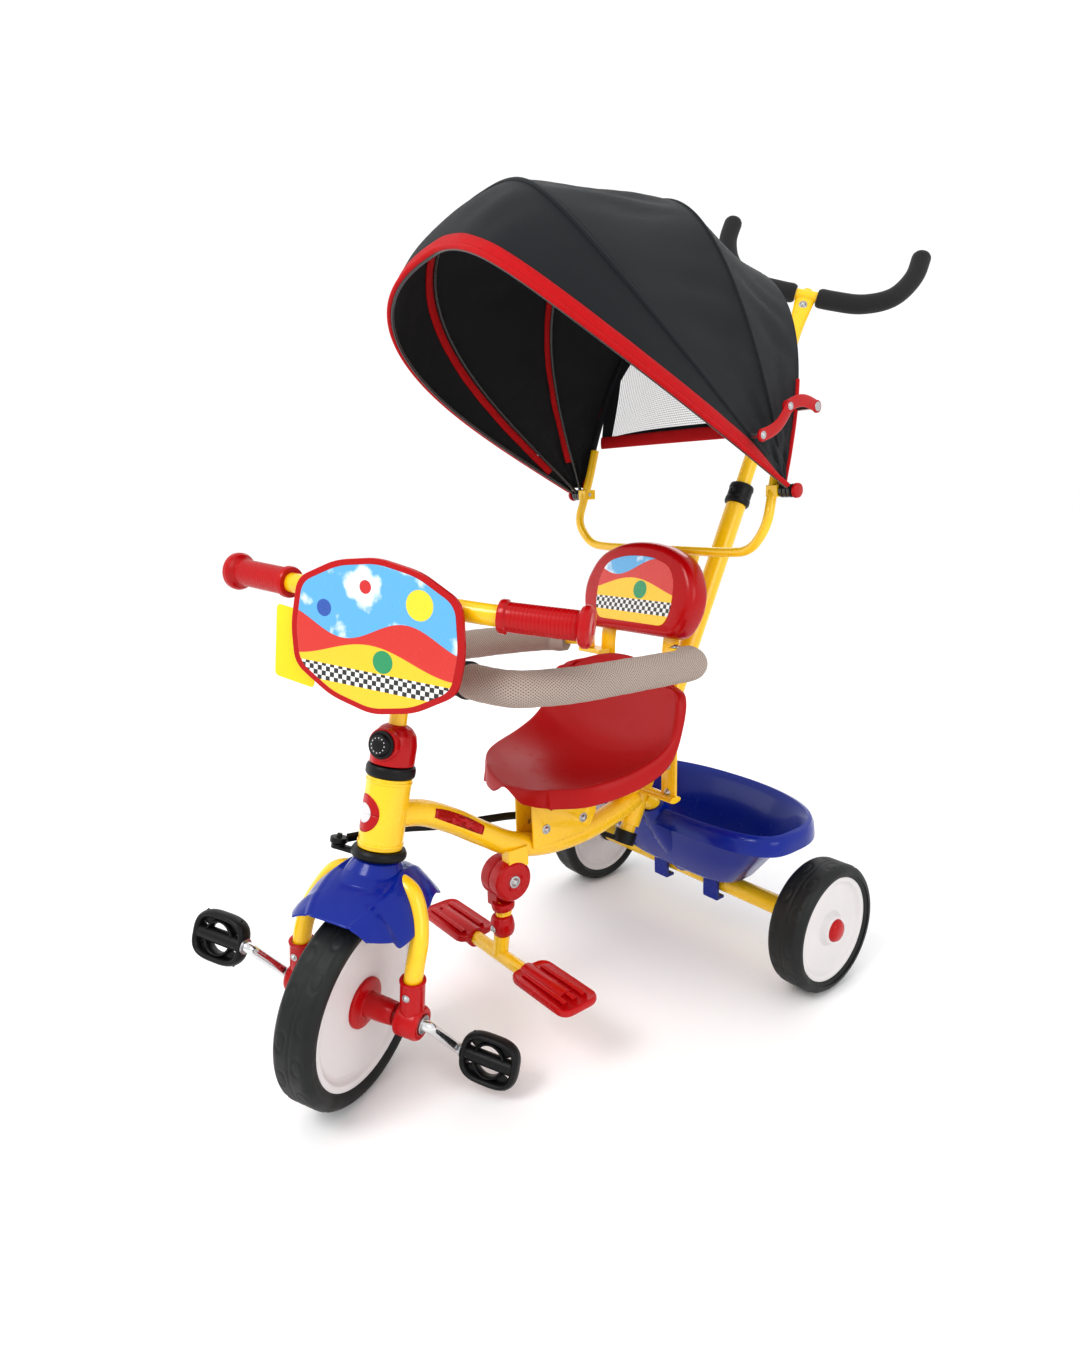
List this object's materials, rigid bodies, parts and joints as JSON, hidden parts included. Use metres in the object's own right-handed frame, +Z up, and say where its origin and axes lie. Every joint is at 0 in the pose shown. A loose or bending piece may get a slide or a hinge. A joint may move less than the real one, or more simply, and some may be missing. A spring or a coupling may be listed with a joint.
{
  "type": "children's tricycle",
  "caption": "Children's push tricycle with steered pedal front wheel, folding canopy, opening safety ring, folding footrest, rear basket and a parent handle that steers",
  "frame": {"origin": "centre of the overall bounding box in plan, on the ground", "axes": "+Z up, the tricycle faces -Y, +X is the rider's left"},
  "size_m": [0.4926, 1.0723, 1.0698],
  "materials": {
    "rubber_tyre": "matt black solid tyre",
    "white_plastic": "smooth off-white moulding",
    "red_plastic": "glossy red moulding",
    "chromed_steel": "bright chrome",
    "black_plastic": "satin black moulding",
    "yellow_paint": "glossy yellow powder coat on steel tube",
    "blue_plastic": "glossy dark blue moulding",
    "black_foam": "soft matt black foam",
    "grey_foam": "grey-brown knitted mesh over foam",
    "bow_steel": "black coated wire",
    "canopy_cloth": "black woven polyester with red binding"
  },
  "bodies": {
    "frame": {"head_tube": "yellow_paint", "main_tube": "yellow_paint", "pole_socket": "yellow_paint", "rear_stay": "yellow_paint", "rear_axle": "yellow_paint", "lower_head_bearing": "black_plastic", "upper_head_bearing": "black_plastic", "pole_collar": "black_plastic", "seat_bracket": "yellow_paint", "seat": "red_plastic", "backrest_frame": "yellow_paint", "seat_back": "red_plastic", "fold_joint_fixed": "red_plastic", "basket": "blue_plastic", "canopy_bracket": "yellow_paint", "canopy_back": "canopy_cloth", "canopy_rear_top": "canopy_cloth"},
    "steering": {"steering_stem": "yellow_paint", "fork_leg_left": "yellow_paint", "fork_leg_right": "yellow_paint", "axle_bearing_left": "red_plastic", "axle_bearing_right": "red_plastic", "mudguard": "blue_plastic", "head_cap": "red_plastic", "headlamp": "black_plastic", "handlebar": "yellow_paint", "handlebar_grip_left": "red_plastic", "handlebar_grip_right": "red_plastic", "front_plaque": "red_plastic", "steering_arm": "black_plastic"},
    "front_wheel": {"front_tyre": "rubber_tyre", "front_wheel_disc": "white_plastic", "front_hub": "red_plastic", "crank_axle": "chromed_steel"},
    "left_pedal": {"pedal_left": "black_plastic"},
    "right_pedal": {"pedal_right": "black_plastic"},
    "left_rear_wheel": {"rear_tyre_left": "rubber_tyre", "rear_wheel_disc_left": "white_plastic"},
    "right_rear_wheel": {"rear_tyre_right": "rubber_tyre", "rear_wheel_disc_right": "white_plastic"},
    "parent_handle": {"push_tube": "yellow_paint", "handle_grip_left": "black_foam", "handle_grip_right": "black_foam"},
    "steering_link": {"drag_rod": "black_plastic"},
    "footrest": {"fold_joint_moving": "red_plastic", "footrest_leg": "yellow_paint", "foot_plate_left": "red_plastic", "foot_plate_right": "red_plastic"},
    "left_guard": {"guard_arm_left": "grey_foam", "guard_clip": "black_plastic"},
    "right_guard": {"guard_arm_right": "grey_foam"},
    "third_bow": {"canopy_bow_third": "bow_steel", "canopy_top": "canopy_cloth"},
    "second_bow": {"canopy_bow_second": "bow_steel", "canopy_brim": "canopy_cloth"},
    "front_bow": {"canopy_bow_front": "bow_steel"},
    "left_rear_stay": {"canopy_stay_rear_left": "red_plastic"},
    "left_front_stay": {"canopy_stay_front_left": "red_plastic"},
    "right_rear_stay": {"canopy_stay_rear_right": "red_plastic"},
    "right_front_stay": {"canopy_stay_front_right": "red_plastic"}
  },
  "joints": [
    {"name": "steer", "type": "hinge", "parent": "frame", "child": "steering", "pos_m": [0, -0.3959, 0.1156], "axis": [0, 0.2343, 0.9722], "range_deg": [-63.7, 6.3]},
    {"name": "front_wheel_spin", "type": "hinge", "parent": "steering", "child": "front_wheel", "pos_m": [0.00185, -0.39954, 0.11489], "axis": [0.8771, 0.4669, -0.1125], "continuous": true},
    {"name": "pedal_left_spin", "type": "hinge", "parent": "front_wheel", "child": "left_pedal", "pos_m": [0.10457, -0.29137, 0.04205], "axis": [0.8771, 0.4669, -0.1125], "continuous": true},
    {"name": "pedal_right_spin", "type": "hinge", "parent": "front_wheel", "child": "right_pedal", "pos_m": [-0.10088, -0.50771, 0.18772], "axis": [0.8771, 0.4669, -0.1125], "continuous": true},
    {"name": "rear_left_spin", "type": "hinge", "parent": "frame", "child": "left_rear_wheel", "pos_m": [0.2214, 0.171, 0.088], "axis": [1, 0, 0], "continuous": true},
    {"name": "rear_right_spin", "type": "hinge", "parent": "frame", "child": "right_rear_wheel", "pos_m": [-0.2214, 0.171, 0.088], "axis": [1, 0, 0], "continuous": true},
    {"name": "handle_turn", "type": "hinge", "parent": "frame", "child": "parent_handle", "pos_m": [0, 0.0235, 0.188], "axis": [0, 0.4524, 0.8918], "range_deg": [-83.61, 8.99]},
    {"name": "drag_rod_swing", "type": "hinge", "parent": "steering", "child": "steering_link", "pos_m": [-0.04737, -0.38151, 0.28597], "axis": [0, 0.2343, 0.9722], "range_deg": [-7.1, 64.5]},
    {"name": "footrest_fold", "type": "hinge", "parent": "frame", "child": "footrest", "pos_m": [0, -0.186, 0.1925], "axis": [1, 0, 0], "range_deg": [0, 70]},
    {"name": "guard_left_open", "type": "hinge", "parent": "frame", "child": "left_guard", "pos_m": [0.084, 0.033, 0.457], "axis": [0, 0, 1], "range_deg": [0, 80]},
    {"name": "guard_right_open", "type": "hinge", "parent": "frame", "child": "right_guard", "pos_m": [-0.084, 0.033, 0.457], "axis": [0, 0, 1], "range_deg": [-80, 0]},
    {"name": "canopy_third_fold", "type": "hinge", "parent": "frame", "child": "third_bow", "pos_m": [0, 0.111, 0.658], "axis": [-1, 0, 0], "range_deg": [0, 26], "deforming": ["canopy_rear_top", "canopy_top"]},
    {"name": "canopy_second_fold", "type": "hinge", "parent": "third_bow", "child": "second_bow", "pos_m": [0, 0.111, 0.658], "axis": [-1, 0, 0], "range_deg": [0, 22.3]},
    {"name": "canopy_front_fold", "type": "hinge", "parent": "second_bow", "child": "front_bow", "pos_m": [0, 0.111, 0.658], "axis": [-1, 0, 0], "range_deg": [0, 7.3], "deforming": ["canopy_brim"]},
    {"name": "stay_left_rear_swing", "type": "hinge", "parent": "frame", "child": "left_rear_stay", "pos_m": [0.2035, 0.13801, 0.7522], "axis": [1, 0, 0], "range_deg": [-80.96, 0]},
    {"name": "stay_left_elbow", "type": "hinge", "parent": "left_rear_stay", "child": "left_front_stay", "pos_m": [0.2035, 0.08105, 0.75018], "axis": [1, 0, 0], "range_deg": [0, 113.62]},
    {"name": "stay_right_rear_swing", "type": "hinge", "parent": "frame", "child": "right_rear_stay", "pos_m": [-0.2035, 0.13801, 0.7522], "axis": [1, 0, 0], "range_deg": [-80.96, 0]},
    {"name": "stay_right_elbow", "type": "hinge", "parent": "right_rear_stay", "child": "right_front_stay", "pos_m": [-0.2035, 0.08105, 0.75018], "axis": [1, 0, 0], "range_deg": [0, 113.62]}
  ],
  "couplings": [
    {"joint": "handle_turn", "follows": "steer", "ratio": 1.3},
    {"joint": "drag_rod_swing", "follows": "steer", "ratio": -1},
    {"joint": "canopy_second_fold", "follows": "canopy_third_fold", "ratio": 0.8462},
    {"joint": "canopy_front_fold", "follows": "canopy_third_fold", "ratio": 0.2692},
    {"joint": "stay_left_rear_swing", "follows": "canopy_third_fold", "ratio": -3.1024},
    {"joint": "stay_left_elbow", "follows": "canopy_third_fold", "ratio": 4.3586},
    {"joint": "stay_right_rear_swing", "follows": "canopy_third_fold", "ratio": -3.1024},
    {"joint": "stay_right_elbow", "follows": "canopy_third_fold", "ratio": 4.3586}
  ]
}
